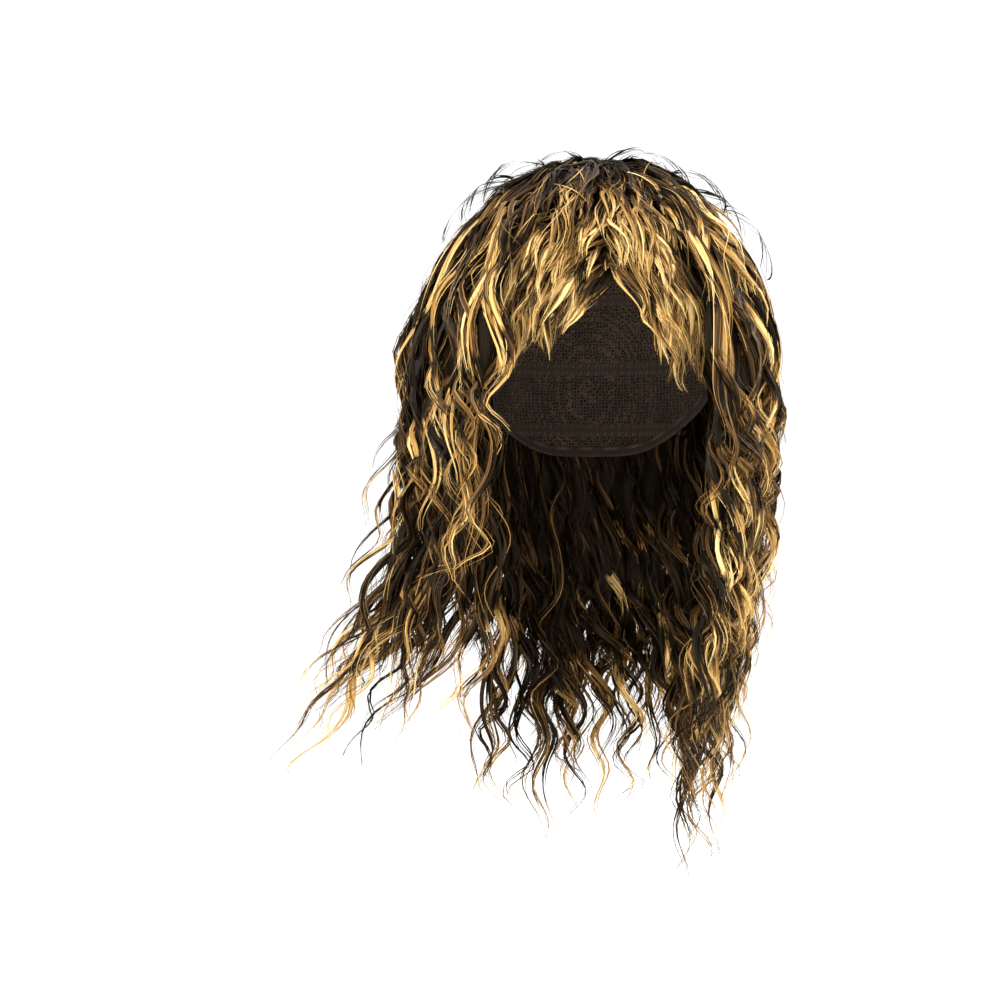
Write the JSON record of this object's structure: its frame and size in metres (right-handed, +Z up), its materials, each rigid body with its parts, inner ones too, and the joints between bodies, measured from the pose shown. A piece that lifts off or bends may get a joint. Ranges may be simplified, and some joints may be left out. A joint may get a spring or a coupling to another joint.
{
  "type": "curly wig",
  "caption": "Long two-tone curly wig in its worn form: an open stretch cap that carries rows of wavy locks, with a parted fringe and hair down past the shoulders.",
  "frame": {"origin": "inside of the cap at the crown, where it sits on the top of the head", "axes": "+Z up, the face opening looks along -Y, +X towards the wearer's left"},
  "size_m": [0.3146, 0.2504, 0.4587],
  "materials": {
    "cap_net": "matte knitted net",
    "hair_dark": "glossy synthetic fibre, near black brown",
    "hair_brown": "glossy synthetic fibre, brown with caramel streaks",
    "hair_gold": "glossy synthetic fibre, golden blond"
  },
  "bodies": {
    "root": {"cap": "cap_net", "nape_weft": "hair_dark", "low_back_weft": "hair_dark", "high_back_weft": "hair_brown", "left_low_side_weft": "hair_dark", "left_high_side_weft": "hair_brown", "right_low_side_weft": "hair_dark", "right_high_side_weft": "hair_brown", "right_low_fringe_weft": "hair_gold", "left_low_fringe_weft": "hair_gold", "right_high_fringe_weft": "hair_gold", "left_high_fringe_weft": "hair_gold", "right_front_crown_weft": "hair_gold", "left_front_crown_weft": "hair_gold", "crown_weft": "hair_brown", "whorl_weft": "hair_brown"}
  },
  "joints": []
}
